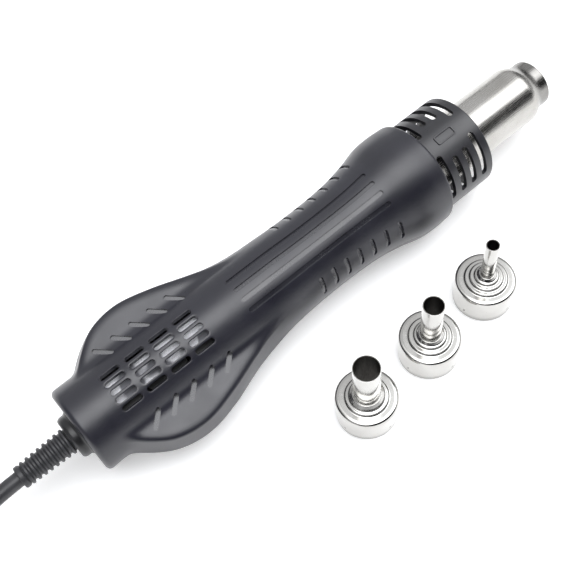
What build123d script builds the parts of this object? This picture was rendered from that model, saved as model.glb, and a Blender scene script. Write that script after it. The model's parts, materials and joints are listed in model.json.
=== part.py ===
from build123d import *
import os
from math import cos, pi, radians, sin, tan

# Hot air handpiece for an electronics bench, with its lead, plug and three nozzles.
# Millimetres, +Z up, z = 0 is the bench top. The handpiece lies along +X, nozzle seat forward.
# The handpiece is drawn in its own frame, where the axis is X and the vented side is +Z, and
# is then rolled and lifted to the way that it lies on the bench.

# ---- how the pieces lie on the bench
LAYOUT_CENTRE = (126.5, -20.7)      # middle of the handpiece and nozzles, moved to the origin
AXIS_H = 24.35                      # height of the handpiece's axis, the bell's radius
ROLL = 14.0                         # degrees that the vented side leans towards -Y
NOZZLE_PLACES = {"large": (97.8, -59.5), "medium": (134.4, -57.5), "small": (170.3, -54.0)}

# ---- handle shells
WALL = 2.0
TAIL_X = 3.2                        # back face of the handle
BODY_R = 18.8                       # radius at the tail
GRIP_R = 18.5                       # radius at the grip's waist
BELL_R = AXIS_H                     # widest radius, at the front flare
BELL_X = 172.0
FRONT_X = 181.0                     # front face of the bell
LIP_R = 21.7                        # hole in the bell's front face
WING_TOP = 11.0                     # height of the fan housing's flat shoulders
WING_XS = (12, 20, 30, 43, 57, 73, 90, 104)
WING_BASE = (16.5, 24.1, 29.8, 31.9, 29.5, 24.4, 20.4, 17.6)       # half width at the joint line
WING_CREASE = (10.5, 19.2, 26.2, 28.5, 26.0, 21.0, 15.5, 11.0)     # half width at the shoulders' edge
WING_INSET = 1.1                    # the drafted wall is this much thicker across than square to itself

# ---- openings and marks in the shells
VENT_XS = (24.9, 36.3, 47.7, 59.1)
VENT_ANGLES = (-22.6, -11.3, 0.0, 11.3, 22.6)
VENT_SIZE = (9.0, 2.4)
GROOVE_X = (81.0, 154.6)
GROOVE_ANGLES = (-22.0, -7.2, 7.2, 22.0)
GROOVE_W = 1.8
MARK_DEPTH = 0.8
POCKET_X0 = 112.7
POCKET_PITCH = 6.78
POCKET_COUNT = 7
POCKET_SIZE = (2.2, 9.6)
POCKET_ANGLE = 60.0
SLASH_X0 = 28.4
SLASH_PITCH = 8.65
SLASH_COUNT = 5
SLASH_Y = 16.8
SLASH_SIZE = (8.6, 2.0)
SLASH_TURN = 43.0

# ---- shell screws, from below
SCREW_PLACES = ((9.4, 13.2), (84.0, 13.8), (146.4, 14.2))
SCREW_R = 1.2
SCREW_HEAD_R = 2.2
SCREW_SEAT_Z = -7.0
SCREW_LENGTH = 13.0
BOSS_R = {"upper": 2.6, "lower": 2.9}

# ---- guard and heater
GUARD_R = 21.43
GUARD_BORE = 19.6
GUARD_FOOT_R = 22.0                 # rim that the shells hold
GUARD_X = (173.0, 206.9)
GUARD_SLOTS = ((201.6, 14.0), (195.5, 23.5), (189.6, 24.5), (183.3, 14.0))    # x, upper end in degrees
GUARD_SLOT_END = 73.0
GUARD_SLOT_W = 2.4
PLAQUE_SIZE = (10.0, 4.4)
PLAQUE_X = 192.0
PLAQUE_RIM = 0.6
TUBE_R = 13.65
TUBE_WALL = 0.8
SEAT_R = 11.0                       # nozzle seat, 22 mm across
SEAT_X = (248.6, 254.0)
SHOULDER_X = 243.0
SHOULDER = ((1.4, 0.2), (3.0, 1.05), (4.4, 2.1))    # places on its rounded step: along, and in from the tube
BULKHEAD_X = (157.0, 160.0)
BULKHEAD_R = 19.0
FLANGE_SCREW_R = 15.8
FLANGE_T = 1.5
SEAT_STEP_R = 12.1                  # ceramic base of the heater core
CORE_X = (164.0, 236.0)
CORE_R = 10.5
WIRE_R = 0.45
WINDING_TURNS = 13
WINDING_PITCH = 5.0

# ---- blower
FAN_X = 43.0
FAN_R = 22.0
HOUSING_R = 25.4
HOUSING_Z = 8.5                     # half the housing's height
HOUSING_WALL = 1.2
MOUTH_X = 74.0
MOUTH_HALF = 12.0
LUG_OFFSET = 18.4
LUG_R = 2.1
LUG_HOLE_R = 0.95
LUG_SINK = 0.7                      # how deep the screw heads sit in the lid
HUB_R = 10.2
BLADE_COUNT = 18
SCREEN_R = 15.2

# ---- electronics
BOARD_X = (92.0, 142.0)
BOARD_HALF = 11.0
BOARD_Z = -8.8                      # upper face
BOARD_T = 1.6

# ---- tail
GROMMET_NECK_R = 7.0
RELIEF_X = (-24.0, -1.0)
RIB_COUNT = 8
RIB_PITCH = 2.6
CLAMP_X = (8.8, 12.2)
CLAMP_HALF = 8.0
CLAMP_Z = -2.0                      # where the clamp meets its rib
CLAMP_SCREW_Y = 6.0
CORE_SPLIT_X = 13.6                 # where the lead's jacket ends and its cores part

# ---- lead
CORD_D = 6.4
CORD_R = CORD_D / 2
LEAD_ROUTE = ((-24.0, 0.0, 24.35), (-48.0, 0.0, 24.35), (-83.0, -5.0, 3.2), (-106.0, -10.0, 3.2))
COIL_CENTRE = (-110.0, 31.4)
COIL_R = 35.0                       # middle of the turns
COIL_WIDE = 3                       # turns beside each other
COIL_HIGH = 2                       # layers of turns

# ---- plug, lying beside the coil with its axis as high as the upper layer
PLUG_X = COIL_CENTRE[0] + 33.0
PLUG_Y = COIL_CENTRE[1] + COIL_R + (COIL_WIDE - 1) * CORD_R
PLUG_R = COIL_HIGH * CORD_D - CORD_R
PIN_RING = 4.6
PIN_R = 0.8

# ---- nozzles: outlet radius, then the radius of each step in the cap
NOZZLES = {
    "large": (5.5, (8.7, 7.1)),
    "medium": (4.35, (8.8, 6.6)),
    "small": (2.8, (8.9, 6.9, 5.0)),
}
SKIRT_R = 12.8
SKIRT_WALL = 0.8
SKIRT_H = 13.8
STEP_H = 1.1
NOZZLE_H = 40.0
OUTLET_WALL = 0.4
LINER_BORE = 11.05

LOW = (Align.CENTER, Align.CENTER, Align.MIN)


# ---- shape helpers, all in the handpiece's own frame
def rod(x0, x1, radius, y=0.0, z=0.0):
    """A round bar along X."""
    return Pos(x0, y, z) * Rot(0, 90, 0) * Cylinder(radius, x1 - x0, align=LOW)


def ring(x0, x1, outer, inner):
    """A plain tube along X."""
    return rod(x0, x1, outer) - rod(x0 - 1, x1 + 1, inner)


def post(x, y, z0, z1, radius):
    """A round bar along Z."""
    return Pos(x, y, z0) * Cylinder(radius, z1 - z0, align=LOW)


def block(x, y, z):
    """A box given by its three ranges."""
    middle = Pos((x[0] + x[1]) / 2, (y[0] + y[1]) / 2, (z[0] + z[1]) / 2)
    return middle * Box(x[1] - x[0], y[1] - y[0], z[1] - z[0])


def turned(points, axis=Axis.X):
    """A solid turned about an axis from the corners of half its section."""
    plane = Plane.XY if axis == Axis.X else Plane.XZ
    return revolve(plane * make_face(Polyline(*points, close=True)), axis)


def wedge(radius, x0, x1, half_angle):
    """A slice round the +Z side of the axis, as a prism along X."""
    corner = radius / cos(radians(half_angle))
    side = corner * sin(radians(half_angle))
    outline = Plane.YZ.offset(x0) * make_face(Polyline((0, 0), (side, radius), (-side, radius), close=True))
    return extrude(outline, x1 - x0)


def group(solids):
    """Several separate solids in one node."""
    return Compound([piece for shape in solids for piece in shape.solids()])


def both_sides(places):
    """Each (x, y) place and its mirror image."""
    return [(x, side * y) for x, y in places for side in (-1, 1)]


# ---- handle shells
def swell(*points):
    """A curve through (x, radius) points that is level at both ends."""
    return Spline(*points, tangents=((1, 0), (1, 0)))


def body(inset, belly):
    """The round body, moved in by a wall. The lower half has a deeper belly under the blower."""
    tail = (TAIL_X + inset, BODY_R - inset)
    grip = (98, 19.1 - inset)
    waist = (120, GRIP_R - inset)
    bell = (BELL_X, BELL_R - inset)
    if belly:
        low = ((14, BODY_R - inset), (37, BELL_R - inset), (51, BELL_R - inset))
        skin = Line(tail, low[0]) + swell(low[0], low[1]) + Line(low[1], low[2]) + swell(low[2], grip)
    else:
        skin = swell(tail, grip)
    skin = skin + swell(grip, waist)
    skin = skin + swell(waist, (142, 19.3 - inset), (155.5, 21.5 - inset), (164.5, 23.8 - inset), bell)
    if inset:
        front = [bell, (FRONT_X - WALL, BELL_R - 0.4 - inset), (FRONT_X - WALL, 0)]
    else:
        front = [bell, (FRONT_X - 1.2, BELL_R - 0.4), (FRONT_X, BELL_R - 1.2), (FRONT_X, 0)]
    rest = Polyline(*front, (TAIL_X + inset, 0), tail)
    return revolve(make_face(skin + rest), Axis.X)


def wing_outline(points, height):
    """One closed level of the fan housing's flat-shouldered bulge."""
    side = Spline(*[(x, y, height) for x, y in points])
    other = Spline(*[(x, -y, height) for x, y in reversed(points)])
    front = Line(side @ 1, other @ 0)
    back = Line(other @ 1, side @ 0)
    return Wire([side.edge(), front.edge(), other.edge(), back.edge()])


def wings(inset, below):
    """The bulge that houses the blower, drafted from the joint line to its flat shoulders."""
    top = WING_TOP - inset
    share = top / WING_TOP
    in_by = inset * WING_INSET
    base = [(x, y - in_by) for x, y in zip(WING_XS, WING_BASE)]
    widths = zip(WING_XS, WING_BASE, WING_CREASE)
    crease = [(x, low + (high - low) * share - in_by) for x, low, high in widths]
    solid = Solid.make_loft([wing_outline(base, 0.0), wing_outline(crease, top)], ruled=True)
    return mirror(solid, Plane.XY) if below else solid


def half_space(below):
    """The half of space on one side of the shells' joint plane."""
    return block((-50, 320), (-80, 80), (-80, 0) if below else (0, 80))


def half_form(inset, below):
    """The solid outer or inner form of one shell."""
    return (body(inset, below) & half_space(below)) + wings(inset, below)


def surface_cut(outer, prisms, depth, below=False):
    """Shallow marks: the part of each prism that lies within a depth of the skin."""
    core = (body(depth, below) & half_space(below)) + wings(depth, below)
    return (group(prisms) & outer) - core


def vent_prisms(radius, angles):
    """The slots of the vent grille, each pointing at the axis."""
    slot = extrude(SlotOverall(*VENT_SIZE), radius + 3)
    return [Rot(a, 0, 0) * Pos(x, 0, 8) * slot for x in VENT_XS for a in angles]


def grip_prisms():
    """Four long grooves on top and seven short pockets down each side of the grip."""
    middle = sum(GROOVE_X) / 2
    groove = Pos(middle, 0, 14) * extrude(SlotOverall(GROOVE_X[1] - GROOVE_X[0], GROOVE_W), 10)
    pocket = extrude(Rot(0, 0, 90) * SlotOverall(POCKET_SIZE[1], POCKET_SIZE[0]), 10)
    prisms = [Rot(a, 0, 0) * groove for a in GROOVE_ANGLES]
    for i in range(POCKET_COUNT):
        for side in (-1, 1):
            prisms.append(Rot(side * POCKET_ANGLE, 0, 0) * Pos(POCKET_X0 + i * POCKET_PITCH, 0, 14) * pocket)
    return prisms


def slash_prisms():
    """Five slanted pockets on each flat shoulder."""
    prisms = []
    for i in range(SLASH_COUNT):
        for side in (-1, 1):
            middle = Pos(SLASH_X0 + i * SLASH_PITCH, side * SLASH_Y, WING_TOP - 2)
            place = middle * Rot(0, 0, -side * SLASH_TURN)
            prisms.append(place * extrude(SlotOverall(*SLASH_SIZE), 4))
    return prisms


def inner_ribs(outer, below):
    """Rings that hold the bulkhead and the guard, bosses for the screws, and the bell's lip."""
    behind = ring(BULKHEAD_X[0] - 1.8, BULKHEAD_X[0] - 0.2, BELL_R, BULKHEAD_R - 1.8)
    ahead = ring(BULKHEAD_X[1] + 1.7, BULKHEAD_X[1] + 3.2, BELL_R, BULKHEAD_R - 1.0)
    ribs = [behind, ahead, ring(GUARD_X[0] - 2.4, GUARD_X[0] - 0.4, BELL_R, GUARD_BORE + 1.2)]
    low, high = (-BELL_R, 0) if below else (0, BELL_R)
    boss = BOSS_R["lower" if below else "upper"]
    ribs += [post(x, y, low, high, boss) for x, y in both_sides(SCREW_PLACES)]
    if below:
        ribs += lugs(-BELL_R, -HOUSING_Z, LUG_R)
        for x in (BOARD_X[0] + 5, BOARD_X[1] - 8):
            ribs.append(block((x, x + 2), (-9, 9), (-BELL_R, BOARD_Z - BOARD_T)))
        clamp_rib = block(CLAMP_X, (-CLAMP_HALF, CLAMP_HALF), (-BELL_R, CLAMP_Z))
        ribs.append(clamp_rib - rod(0, BOARD_X[0], CORD_R))
    return group(ribs) & (outer & half_space(below))


def end_holes():
    """Openings in the bell's front face and the tail face."""
    front = rod(FRONT_X - WALL - 1, FRONT_X + 1, LIP_R)
    return group([front, rod(TAIL_X - 1, TAIL_X + WALL + 1, GROMMET_NECK_R)])


def upper_shell():
    """Vented half of the handle."""
    outer = half_form(0, False)
    shell = outer - half_form(WALL, False) + inner_ribs(outer, False)
    shell -= group(vent_prisms(BODY_R, VENT_ANGLES))
    shell -= surface_cut(outer, grip_prisms() + slash_prisms(), MARK_DEPTH)
    shell -= end_holes()
    return shell - group([post(x, y, -1, 8, SCREW_R + 0.05) for x, y in both_sides(SCREW_PLACES)])


def lower_shell():
    """Bench side of the handle, with the blower's second inlet and the screw holes."""
    outer = half_form(0, True)
    shell = outer - half_form(WALL, True) + inner_ribs(outer, True)
    shell -= group(vent_prisms(BELL_R, [180 + a * 0.8 for a in VENT_ANGLES]))
    shell -= end_holes()
    shell -= group([post(x, y, -30, 1, SCREW_R + 0.2) for x, y in both_sides(SCREW_PLACES)])
    shell -= group([post(x, y, -30, SCREW_SEAT_Z, SCREW_HEAD_R + 0.3) for x, y in both_sides(SCREW_PLACES)])
    return shell - clamp_holes()


def screw(x, y, z0, length, radius, head_r, head_h, up=1):
    """A pan-head screw along Z, its shank running up or down from the head's seat."""
    shank = post(x, y, z0, z0 + length, radius) if up > 0 else post(x, y, z0 - length, z0, radius)
    head = post(x, y, z0 - head_h, z0, head_r) if up > 0 else post(x, y, z0, z0 + head_h, head_r)
    top = z0 - up * head_h
    slot = block((x - head_r * 0.6, x + head_r * 0.6), (y - 0.3, y + 0.3), (top - 0.5, top + 0.5))
    return shank + head - slot


def shell_screws():
    """Six screws through the lower shell into the upper one."""
    return group([screw(x, y, SCREW_SEAT_Z, SCREW_LENGTH, SCREW_R, SCREW_HEAD_R, 1.8)
                  for x, y in both_sides(SCREW_PLACES)])


# ---- guard and heater
def guard_slot(x, start, end):
    """A slot round part of the guard, between two angles from the top."""
    arc = ring(x - GUARD_SLOT_W / 2, x + GUARD_SLOT_W / 2, GUARD_R + 1, GUARD_BORE - 1)
    sector = wedge(GUARD_R + 8, x - 3, x + 3, (end - start) / 2)
    return arc & (Rot(-(start + end) / 2, 0, 0) * sector)


def front_guard():
    """Black slotted sleeve round the hot tube, with a raised blank plaque on top."""
    x0, x1 = GUARD_X
    foot = [(x0, GUARD_BORE), (x0, GUARD_FOOT_R), (x0 + 2.5, GUARD_FOOT_R), (x0 + 2.5, GUARD_R)]
    guard = turned(foot + [(x1 - 0.6, GUARD_R), (x1, GUARD_R - 0.6), (x1, GUARD_BORE)])
    for x, start in GUARD_SLOTS:
        for base in (0, 180):
            for side in (-1, 1):
                slot = guard_slot(x, start, GUARD_SLOT_END)
                slot = mirror(slot, Plane.XZ) if side < 0 else slot
                guard -= Rot(base, 0, 0) * slot
    length, width = PLAQUE_SIZE
    frame = Rectangle(length, width) - Rectangle(length - 2 * PLAQUE_RIM, width - 2 * PLAQUE_RIM)
    plaque = Pos(PLAQUE_X, 0, GUARD_R - 1) * extrude(frame, 2)
    return guard + (plaque & ring(*GUARD_X, GUARD_R + 0.35, GUARD_R - 0.3))


def heater_tube():
    """Bright steel tube, stepped down to the nozzle seat."""
    outer = [(BULKHEAD_X[1], TUBE_R), (SHOULDER_X, TUBE_R)]
    outer += [(SHOULDER_X + along, TUBE_R - inward) for along, inward in SHOULDER]
    outer += [(SEAT_X[0], SEAT_R), (SEAT_X[1] - 0.8, SEAT_R)]
    lip = [(SEAT_X[1], SEAT_R - 0.6), (SEAT_X[1], SEAT_R - TUBE_WALL - 0.3)]
    inner = [(x - 0.3, r - TUBE_WALL) for x, r in reversed(outer[1:-1])]
    return turned(outer + lip + inner + [(BULKHEAD_X[1], TUBE_R - TUBE_WALL)])


def ring_points(radius, count, start=0.0):
    """Evenly spaced (y, z) places round the axis."""
    angles = [radians(start + 360 / count * i) for i in range(count)]
    return [(radius * cos(a), radius * sin(a)) for a in angles]


def flange_rods(x0, x1, radius):
    """Three bars at the flange's screw places."""
    return group([rod(x0, x1, radius, y, z) for y, z in ring_points(FLANGE_SCREW_R, 3, 90)])


def heater_bulkhead():
    """Heat-proof disc that the shells hold, with the tube's flange screwed to it."""
    x0, x1 = BULKHEAD_X
    return ring(x0, x1, BULKHEAD_R, SEAT_STEP_R + 0.2) - flange_rods(x0 - 1, x1 + 1, 1.05)


def tube_flange():
    """Washer-shaped flange on the tube's inner end."""
    x0 = BULKHEAD_X[1]
    return ring(x0, x0 + FLANGE_T, BULKHEAD_R, TUBE_R) - flange_rods(x0 - 1, x0 + 3, 1.2)


def flange_screws():
    """Three screws that clamp the flange to the bulkhead."""
    seat = BULKHEAD_X[1] + FLANGE_T
    return group([flange_rods(BULKHEAD_X[0], seat, 1.0) + flange_rods(seat, seat + 1.3, 1.9)])


def heater_seat():
    """Ceramic base that the heater core stands on, with four air holes."""
    x0, x1 = CORE_X[0] - 14, CORE_X[0]
    holes = [rod(x0 - 1, x1 + 1, 3.2, y, z) for y, z in ring_points(7.2, 4, 45)]
    return rod(x0, x1, SEAT_STEP_R) - group(holes)


def ceramic_core():
    """Cross-shaped ceramic rod that carries the winding."""
    wide, thin = (-CORE_R, CORE_R), (-0.8, 0.8)
    return (block(CORE_X, wide, thin) + block(CORE_X, thin, wide)) & rod(*CORE_X, CORE_R)


def heater_winding():
    """The heating wire's turns round the core, as separate rings."""
    turn = Rot(0, 90, 0) * Torus(CORE_R + WIRE_R + 0.15, WIRE_R)
    return group([Pos(CORE_X[0] + WINDING_PITCH * (i + 1), 0, 0) * turn for i in range(WINDING_TURNS)])


def temperature_sensor():
    """Thin rod with a round tip, in one corner of the core's cross."""
    tip, corner = CORE_X[1] + 2, 1.84
    return rod(CORE_X[0], tip, 0.8, corner, corner) + Pos(tip, corner, corner) * Sphere(0.8)


def mica_sleeve():
    """Insulating sleeve between the winding and the tube."""
    return ring(CORE_X[0] + 1, CORE_X[1] + 4, 12.6, 12.0)


def front_diffuser():
    """Perforated disc just behind the nozzle seat."""
    x0 = SHOULDER_X - 2.4
    holes = [rod(x0 - 1, x0 + 3, 1.5, y, z) for y, z in ring_points(8.6, 10) + ring_points(4.4, 5) + [(0, 0)]]
    return rod(x0, x0 + 1.2, 12.7) - group(holes)


# ---- tail
def tail_grommet():
    """Rounded boss in the tail face, with a neck and an inner flange."""
    x0 = RELIEF_X[1]
    neck = GROMMET_NECK_R - 0.1
    boss = [(x0, 0), (x0, 7.6), (x0 + 0.6, 8.6), (x0 + 1.8, 9.2), (TAIL_X, 9.2), (TAIL_X, neck)]
    inside = TAIL_X + WALL
    return turned(boss + [(inside, neck), (inside, 8.8), (inside + FLANGE_T, 8.8), (inside + FLANGE_T, 0)])


def strain_relief():
    """Ribbed, tapered sleeve with a plain collar at its outer end."""
    points = [(RELIEF_X[1], 0), (RELIEF_X[1], 4.6)]
    for i in range(RIB_COUNT):
        x = RELIEF_X[1] - 0.5 - i * RIB_PITCH
        crest = 5.6 - 0.1 * i
        points += [(x, crest - 1.0), (x - 0.5, crest), (x - 1.2, crest), (x - 1.7, crest - 1.0)]
    points += [(RELIEF_X[0] + 1.9, 4.7), (RELIEF_X[0] + 0.5, 4.7), (RELIEF_X[0], 4.2), (RELIEF_X[0], 0)]
    return turned(points)


def inner_cable():
    """The lead's jacket inside the tail, as far as the clamp."""
    return rod(TAIL_X + WALL + FLANGE_T, CORE_SPLIT_X, CORD_R)


def clamp_holes():
    """Two screw holes through the cable clamp and its rib."""
    middle = sum(CLAMP_X) / 2
    return group([post(middle, side * CLAMP_SCREW_Y, -9, 6, 1.05) for side in (-1, 1)])


def cable_clamp():
    """Saddle over the cable, screwed to a rib of the lower shell."""
    saddle = block(CLAMP_X, (-CLAMP_HALF, CLAMP_HALF), (CLAMP_Z, CORD_R + 1.6))
    return saddle - rod(CLAMP_X[0] - 1, CLAMP_X[1] + 1, CORD_R) - clamp_holes()


def clamp_screws():
    """Two screws that pull the cable clamp down."""
    x, z = sum(CLAMP_X) / 2, CORD_R + 1.6
    return group([screw(x, side * CLAMP_SCREW_Y, z, 12, 1.0, 1.8, 1.2, up=-1) for side in (-1, 1)])


# ---- blower
def lug_places():
    """The blower's four screw places."""
    return [(FAN_X + i * LUG_OFFSET, j * LUG_OFFSET) for i in (-1, 1) for j in (-1, 1)]


def lugs(z0, z1, radius):
    """Upright bars at the blower's screw places."""
    return [post(x, y, z0, z1, radius) for x, y in lug_places()]


def blower_outline(z0, z1, inset=0.0):
    """The blower's round plan with its mouth towards the grip."""
    half = MOUTH_HALF - inset
    mouth = block((FAN_X, MOUTH_X + (1 if inset else 0)), (-half, half), (z0, z1))
    return post(FAN_X, 0, z0, z1, HOUSING_R - inset) + mouth


def blower_housing():
    """Open round housing with a mouth towards the grip and a post for the bearing."""
    floor_z = -HOUSING_Z + HOUSING_WALL
    top = HOUSING_Z - HOUSING_WALL
    shape = blower_outline(-HOUSING_Z, top) + group(lugs(-HOUSING_Z, top, LUG_R))
    shape -= blower_outline(floor_z, top + 1, HOUSING_WALL)
    shape += post(FAN_X, 0, -HOUSING_Z, floor_z + 1, 3.6)
    return shape - group(lugs(-HOUSING_Z - 1, top + 1, LUG_HOLE_R))


def blower_cover():
    """Lid of the blower with its air inlet."""
    z0 = HOUSING_Z - HOUSING_WALL
    plate = blower_outline(z0, HOUSING_Z) + group(lugs(z0, HOUSING_Z, LUG_R))
    plate -= group(lugs(HOUSING_Z - LUG_SINK, 20, 1.85))
    return plate - post(FAN_X, 0, 0, 20, 13.5) - group(lugs(0, 20, LUG_HOLE_R))


def blower_screws():
    """Four screws that hold the blower's lid."""
    seat = HOUSING_Z - LUG_SINK
    return group([screw(x, y, seat, 10, LUG_HOLE_R - 0.05, 1.7, 0.9, up=-1) for x, y in lug_places()])


def fan_bearing():
    """Long bronze bush in the housing's post."""
    return post(FAN_X, 0, -6.3, 3, 2.6) - post(FAN_X, 0, -7, 4, 1.05)


def fan_shaft():
    """Steel shaft, pressed into the impeller's cup."""
    return post(FAN_X, 0, -6.0, 5.0, 1.0)


def fan_stator():
    """Wound poles of the blower motor round the bearing."""
    core = post(FAN_X, 0, -3, 2.6, 4.2) - post(FAN_X, 0, -4, 4, 2.6)
    pole = Pos(5.4, 0, -0.2) * Box(4.2, 2.4, 5.0)
    shoe = block((6.6, 7.9), (-2.4, 2.4), (-2.7, 2.3))
    arms = [Pos(FAN_X, 0, 0) * Rot(0, 0, 60 * i) * (pole + shoe) for i in range(6)]
    arms = [arm & post(FAN_X, 0, -5, 5, 7.9) for arm in arms]
    return core + arms


def fan_magnet():
    """Magnet ring inside the impeller's cup."""
    return post(FAN_X, 0, -3.4, 3.0, HUB_R - 1) - post(FAN_X, 0, -5, 5, HUB_R - 1.8)


def impeller():
    """Hub cup with a ring of blades on a thin back plate."""
    cup = post(FAN_X, 0, -5.0, 6.2, HUB_R) - post(FAN_X, 0, -6, 5.0, HUB_R - 1)
    plate = post(FAN_X, 0, -5.6, -4.6, FAN_R) - post(FAN_X, 0, -6, 0, HUB_R - 1)
    blade = Pos(15.8, 0, 0.2) * Rot(0, 0, 24) * Box(11.6, 0.8, 9.8)
    blades = [Pos(FAN_X, 0, 0) * Rot(0, 0, 360 / BLADE_COUNT * i) * blade for i in range(BLADE_COUNT)]
    blades = group(blades) & (post(FAN_X, 0, -5, 5, FAN_R) - post(FAN_X, 0, -6, 6, HUB_R - 0.2))
    return cup + plate + blades


def inlet_screen():
    """Curved foam sheet under the vent slots."""
    return ring(18, 66, SCREEN_R, SCREEN_R - 0.8) & wedge(30, 17, 67, 17)


# ---- electronics
def control_board():
    """Circuit board in the grip, with four fixing holes."""
    board = block(BOARD_X, (-BOARD_HALF, BOARD_HALF), (BOARD_Z - BOARD_T, BOARD_Z))
    corners = [(x, side * (BOARD_HALF - 2)) for x in (BOARD_X[0] + 2.5, BOARD_X[1] - 2.5) for side in (-1, 1)]
    return board - group([post(x, y, BOARD_Z - BOARD_T - 1, BOARD_Z + 1, 0.9) for x, y in corners])


def board_parts():
    """The larger components on the board."""
    triac = block((102, 112), (-7.5, 2.5), (BOARD_Z, BOARD_Z + 4.4)) - rod(101, 113, 1.5, -2.5, BOARD_Z + 4.4)
    choke = post(122, -5, BOARD_Z, BOARD_Z + 7, 4.2) - post(122, -5, BOARD_Z + 5, BOARD_Z + 8, 1.6)
    caps = [post(x, 6.5, BOARD_Z, BOARD_Z + 8, 2.4) for x in (98, 105, 112)]
    chip = block((114, 117), (-10, -4), (BOARD_Z, BOARD_Z + 1.6))
    return group([triac, choke, chip] + caps)


def reed_switch():
    """Glass switch that wakes the handpiece when it leaves its cradle."""
    z = BOARD_Z + 1.4
    return rod(118, 132, 1.3, 7, z) + rod(115.5, 134.5, 0.35, 7, z)


def terminal_block():
    """Three screw terminals for the heater's leads."""
    shape = block((BOARD_X[1] - 7, BOARD_X[1] - 0.5), (-8, 8), (BOARD_Z, BOARD_Z + 7.2))
    return shape - group([post(BOARD_X[1] - 3.8, y, BOARD_Z + 5.4, 10, 1.5) for y in (-5, 0, 5)])


def wire(points, radius, bend):
    """A wire of straight runs and round bends."""
    path = FilletPolyline(*points, radius=bend)
    return sweep(Plane(path @ 0, z_dir=path % 0) * Circle(radius), path=path)


def internal_leads():
    """Three cores from the clamp, under the blower, to the board."""
    edge = BOARD_Z - BOARD_T / 2
    start = [(CORE_SPLIT_X, -1.0), (15.2, -1.6), (17.0, -12.0)]
    places = start + [(24, -14.0), (76, -13.0), (88, edge), (BOARD_X[0], edge)]
    return group([wire([(x, y, z) for x, z in places], 0.75, 0.7) for y in (-1.9, 0.0, 1.9)])


def heater_leads():
    """Two wires from the terminals to the heater's base."""
    return group([rod(BOARD_X[1] - 0.5, CORE_X[0] - 14, 0.7, y, -2.6) for y in (-2.0, 2.0)])


# ---- nozzles, each on its own upright axis with its socket down
def nozzle_cap(outlet_r, steps):
    """Pressed cap: straight skirt, rounded top edge, then rings stepping up to the outlet."""
    collar_z = SKIRT_H + STEP_H * len(steps)
    outer = [(SKIRT_R, 0), (SKIRT_R, SKIRT_H - 1.4), (SKIRT_R - 0.5, SKIRT_H - 0.4), (SKIRT_R - 1.4, SKIRT_H)]
    z = SKIRT_H
    for r in steps:
        outer += [(r, z), (r - 0.3, z + STEP_H)]
        z += STEP_H
    outer += [(outlet_r + 0.8, z), (outlet_r + 0.5, z + 1.2), (outlet_r, z + 1.2)]
    inner = [(outlet_r, collar_z - SKIRT_WALL)]
    inner += [(SKIRT_R - SKIRT_WALL, SKIRT_H - 2.2), (SKIRT_R - SKIRT_WALL, 0)]
    return turned(outer + inner, Axis.Z)


def nozzle_outlet(outlet_r, steps):
    """Straight outlet pipe."""
    z0 = SKIRT_H + STEP_H * len(steps) - SKIRT_WALL
    return post(0, 0, z0, NOZZLE_H, outlet_r) - post(0, 0, z0 - 1, NOZZLE_H + 1, outlet_r - OUTLET_WALL)


def nozzle_liner():
    """Split spring sleeve that grips the 22 mm seat."""
    sleeve = post(0, 0, 0.6, 10.6, SKIRT_R - SKIRT_WALL) - post(0, 0, 0, 12, LINER_BORE)
    return sleeve - block((8, 14), (-2.5, 2.5), (-1, 12))


# ---- lead and plug, in the bench frame
def lead_radii(points):
    """Bend radii as large as the runs beside each corner allow."""
    corners = []
    for a, b, c in zip(points, points[1:], points[2:]):
        before = Vector(*b) - Vector(*a)
        after = Vector(*c) - Vector(*b)
        turn = radians(before.get_angle(after))
        corners.append(0.45 * min(before.length, after.length) / tan(turn / 2))
    return corners


def cord_lead():
    """The lead from the strain relief down to the bench and into the coil."""
    radii = lead_radii(LEAD_ROUTE)
    path = FilletPolyline(*LEAD_ROUTE, radius=radii)
    tube = sweep(Plane(path @ 0, z_dir=path % 0) * Circle(CORD_R), path=path)
    print("lead radii", [round(r, 1) for r in radii], "length", round(path.length, 1))
    print("lead volume", round(tube.volume, 1), "section x length", round(pi * CORD_R ** 2 * path.length, 1))
    return tube


def cord_coil():
    """Outer shape of the wound lead: three turns side by side, two layers high."""
    width, height = COIL_WIDE * CORD_D, COIL_HIGH * CORD_D
    section = Plane.XZ * Pos(COIL_R, height / 2) * RectangleRounded(width, height, CORD_R * 0.95)
    return Pos(*COIL_CENTRE, 0) * revolve(section, Axis.Z)


def cord_tail():
    """Last straight stretch, from the coil's upper layer into the plug."""
    return rod(COIL_CENTRE[0] + 4, PLUG_X, CORD_R, PLUG_Y, PLUG_R)


def on_plug(shape):
    """Moves a piece from the plug's own frame, where the lead enters at the origin, to the bench."""
    return Pos(PLUG_X, PLUG_Y, PLUG_R) * shape


def plug_gland():
    """Tapered clamp where the lead goes into the plug."""
    points = [(0, 0), (0, 4.0), (1.0, 4.6), (13, 6.2), (16, 6.2), (16, 0)]
    return on_plug(turned(points))


def plug_body():
    """Round metal shell of the plug."""
    back = [(16, 0), (16, 7.0), (17, 7.6), (27.5, 7.6), (27.5, 8.9), (29, 8.9)]
    points = back + [(29, 8.2), (46, 8.2), (46, 7.5), (36, 7.5), (36, 0)]
    grooves = [ring(18.5 + 2.2 * i, 19.3 + 2.2 * i, 9, 7.2) for i in range(4)]
    return on_plug(turned(points) - group(grooves))


def pins(x1):
    """Seven contacts, one in the middle of a ring of six."""
    return group([rod(36, x1, PIN_R, y, z) for y, z in [(0.0, 0.0)] + ring_points(PIN_RING, 6)])


def plug_insert():
    """Moulded disc that holds the contacts."""
    return on_plug(rod(36, 40, 7.5) - pins(41))


def plug_pins():
    """The plug's contacts."""
    return on_plug(pins(44.5))


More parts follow.
